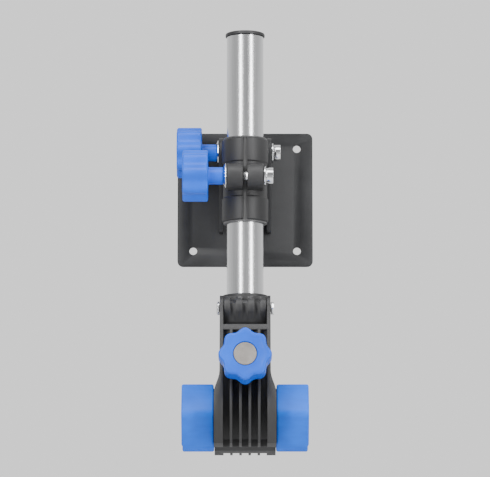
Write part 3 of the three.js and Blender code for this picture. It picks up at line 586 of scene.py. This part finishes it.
ROD_RISE = math.radians(5.2)
KNOB_ALONG = 70.8  # the clamp knob's hub, along the rod from the pin
CUP_ALONG = 68.1
ROD_WAY = Vector((0, -math.cos(ROD_RISE), math.sin(ROD_RISE)))
pin_low, pin_high = corners("rod_barrel_pin")
PIN = (pin_low + pin_high) / 2
ROD = Place(PIN, ROD_WAY, (1, 0, 0))
LEFT = Vector((-1, 0, 0))


def left_place(node):
    """The place of a knob that faces left, its hub's end at the node's right."""
    low, high = corners(node)
    return Place((high.x, (low.y + high.y) / 2, (low.z + high.z) / 2), LEFT, (0, 0, 1))


TILT = left_place("tilt_knob")
LOCK = left_place("tube_lock_knob")
CLAMP = Place(PIN + ROD_WAY * KNOB_ALONG * MM, ROD_WAY, (1, 0, 0))
CUP = Place(PIN + ROD_WAY * CUP_ALONG * MM, ROD_WAY, (1, 0, 0))

for label, place in (("tilt", TILT), ("tube_lock", LOCK), ("clamp", CLAMP)):
    star_knob(label + "_knob", place)
    cap(label + "_knob_cap", place)
cup_washer("tilt_knob_washer", left_place("tilt_knob_washer"))
cup_washer("tube_lock_knob_washer", left_place("tube_lock_knob_washer"))
cup_washer("clamp_knob_washer", CUP)

# ---------- tube, end cap ----------

tube_low, tube_high = corners("tube")
TUBE_MIDDLE = (tube_low + tube_high) / 2
TUBE_BASE = Place((TUBE_MIDDLE.x, TUBE_MIDDLE.y, tube_low.z), (0, 0, 1), (1, 0, 0))
TUBE_LENGTH = (tube_high.z - tube_low.z) / MM
TUBE_RADIUS = (tube_high.x - tube_low.x) / 2 / MM
TUBE_WALL = 2.0


def tube():
    bore = TUBE_RADIUS - TUBE_WALL
    profile = [(bore, 0.3), (bore + 0.3, 0.0), (TUBE_RADIUS - 0.3, 0.0), (TUBE_RADIUS, 0.3)]
    profile += [(TUBE_RADIUS, TUBE_LENGTH - 0.3), (TUBE_RADIUS - 0.3, TUBE_LENGTH)]
    profile += [(bore + 0.3, TUBE_LENGTH), (bore, TUBE_LENGTH - 0.3)]
    piece = add_piece("tube_drawn", turned("tube", profile, TUBE_BASE, 160), TUBE_METAL, "tube")
    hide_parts("tube")


def end_cap():
    low, high = corners("tube_end_cap")
    plug = TUBE_RADIUS - TUBE_WALL - 0.3
    lip = (high.x - low.x) / 2 / MM
    top = (high.z - tube_low.z) / MM
    seat = TUBE_LENGTH + 0.3
    foot = (low.z - tube_low.z) / MM
    profile = [(0.0, foot), (plug - 0.8, foot), (plug, foot + 1.2), (plug, seat)]
    profile += [(lip - 0.3, seat)]
    profile += [(lip, seat + 0.3)] + fillet((lip, top - 1.2), (lip - 1.2, top), 5)
    profile += [(lip - 2.2, top - 0.02), (lip - 2.6, top - 0.25), (0.0, top - 0.25)]
    piece = add_piece("end_cap_plug", turned("cap", profile, TUBE_BASE, 128), NYLON, "tube_end_cap")
    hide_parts("tube_end_cap")


tube()
end_cap()

# ---------- clamp rod with its thread, and the spring ----------

ROD_RADIUS = 4.0
THREAD_PITCH = 1.25
THREAD_DEPTH = 0.55
THREAD_START = 9.0
RIDGE_RADIUS = 0.42
RIDGE_LIFT = 0.12  # the ridge's middle, above the thread's root
ROD_LENGTH = 88.0
ROD_BACK = 3.0
SPRING_START = 9.9
SPRING_END = 46.8
SPRING_RADIUS = 7.2
SPRING_WIRE = 0.9
SPRING_TURNS = 7.0
SPRING_SQUEEZE = 0.72


def clamp_rod():
    core = ROD_RADIUS - THREAD_DEPTH
    profile = [(0.0, -ROD_BACK), (core, -ROD_BACK), (core, ROD_LENGTH - 1.0)]
    profile += [(core - 0.8, ROD_LENGTH), (0.0, ROD_LENGTH)]
    rod = turned("rod", profile, ROD, 48)
    height = ROD_LENGTH - 2 - THREAD_START
    ridge = coil_mesh(
        "thread", CHROME, (core + RIDGE_LIFT) * MM, RIDGE_RADIUS * MM, height / THREAD_PITCH,
        height * MM, 0.0, 4, 24,
    )
    stood(ridge, ROD, THREAD_START)
    whole = bmesh.new()
    whole.from_mesh(rod)
    whole.from_mesh(ridge)
    whole.to_mesh(rod)
    whole.free()
    piece = add_piece("clamp_rod_threaded", rod, CHROME, "clamp_rod", 50)
    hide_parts("clamp_rod")


def jaw_spring():
    length = SPRING_END - SPRING_START
    wire = coil_mesh(
        "coil", CHROME, SPRING_RADIUS * MM, SPRING_WIRE * MM, SPRING_TURNS,
        (length - 2 * SPRING_WIRE) * MM, SPRING_SQUEEZE, 12, 40,
    )
    stood(wire, ROD, SPRING_START + SPRING_WIRE)
    piece = add_piece("jaw_spring_coil", wire, CHROME, "jaw_spring", 60, rides=False)
    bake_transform(piece)
    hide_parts("jaw_spring")


clamp_rod()
jaw_spring()

# ---------- mouldings and steel parts, edges rounded ----------

FINISHES = (
    (STEEL_BLACK, "painted_steel", 0.5, ("wall_plate", "ear_left", "ear_right")),
    (NYLON, "black_plastic", 0.35, ("collar", "clamp_head", "front_jaw")),
    (RUBBER, "blue_rubber", 1.6, ("front_pad_left", "front_pad_right", "rear_pad_left", "rear_pad_right")),
    (LINER, "liner_plastic", 0.12, ("collar_liner",)),
    (BRASS, "brass", 0.15, ("tilt_knob_insert", "tube_lock_knob_insert", "clamp_knob_insert")),
    (CHROME, "chrome", 0.2, (
        "tilt_bolt", "tube_lock_bolt", "tilt_head_washer", "tube_lock_head_washer", "pinch_bolt",
        "pinch_nut", "jaw_pivot_bolt", "jaw_pivot_nut", "rod_barrel_pin", "spring_seat_washer",
    )),
)
for material, slot_name, edge, nodes in FINISHES:
    for node in nodes:
        rounded(node, material, edge)

# ---------- floor, light and camera ----------


def pale_floor():
    f = Finish("floor_paint", Roughness=0.9, Specular_IOR_Level=0.2)
    clouds = f.noise(1.5, 2, 0.5)
    f.drive("Base Color", f.ramp(clouds, [(0.3, (0.8, 0.8, 0.81)), (0.7, (0.84, 0.84, 0.84))]))
    return f.material


FLOOR_LEVEL = -1.05


def floor():
    mesh = bpy.data.meshes.new("floor")
    reach = 30.0
    spots = [(-reach, -reach), (reach, -reach), (reach, reach), (-reach, reach)]
    mesh.from_pydata([(x, y, FLOOR_LEVEL) for x, y in spots], [], [(0, 1, 2, 3)])
    mesh.materials.append(pale_floor())
    ground = bpy.data.objects.new("floor", mesh)
    bpy.context.scene.collection.objects.link(ground)


def soft_light(name, place, aim, size, power, tint=(1, 1, 1)):
    lamp = bpy.data.lights.new(name, "AREA")
    lamp.shape = "RECTANGLE"
    lamp.size, lamp.size_y = size
    lamp.energy = power
    lamp.color = tint
    thing = bpy.data.objects.new(name, lamp)
    bpy.context.scene.collection.objects.link(thing)
    thing.location = place
    thing.rotation_euler = (Vector(aim) - Vector(place)).to_track_quat("-Z", "Y").to_euler()


def studio():
    """A pale room, dimmer on the viewer's side, so that round parts show light and dark bands."""
    world = bpy.data.worlds.new("studio")
    world.use_nodes = True
    nodes, links = world.node_tree.nodes, world.node_tree.links
    way = nodes.new("ShaderNodeTexCoord")
    split = nodes.new("ShaderNodeSeparateXYZ")
    fade = nodes.new("ShaderNodeMapRange")
    fade.inputs["From Min"].default_value = -0.7
    fade.inputs["From Max"].default_value = 0.75
    fade.inputs["To Min"].default_value = 0.42
    fade.inputs["To Max"].default_value = 1.15
    links.new(way.outputs["Generated"], split.inputs[0])
    links.new(split.outputs["Y"], fade.inputs["Value"])
    links.new(fade.outputs[0], nodes["Background"].inputs["Strength"])
    nodes["Background"].inputs["Color"].default_value = (1, 1, 1, 1)
    bpy.context.scene.world = world
    middle = (0, -0.07, -0.04)
    soft_light("left_softbox", (-0.75, -1.5, 0.35), middle, (0.28, 1.9), 24)
    soft_light("right_softbox", (0.95, -1.25, 0.25), middle, (0.28, 1.7), 22)
    soft_light("top_softbox", (0.0, -0.9, 1.4), middle, (1.3, 0.8), 22)


def camera():
    """Looks from straight ahead and a little below, through a long lens."""
    low, high = (Vector(corner) for corner in cad_box)
    middle = (low + high) / 2
    distance = 3.0
    rise = math.radians(-9.0)
    eye = middle + Vector((0, -math.cos(rise), math.sin(rise))) * distance
    lens = bpy.data.cameras.new("camera")
    lens.lens = 255
    lens.sensor_width = 36
    thing = bpy.data.objects.new("camera", lens)
    bpy.context.scene.collection.objects.link(thing)
    thing.location = eye
    thing.rotation_euler = (middle - eye).to_track_quat("-Z", "Y").to_euler()
    bpy.context.scene.camera = thing


floor()
studio()
camera()
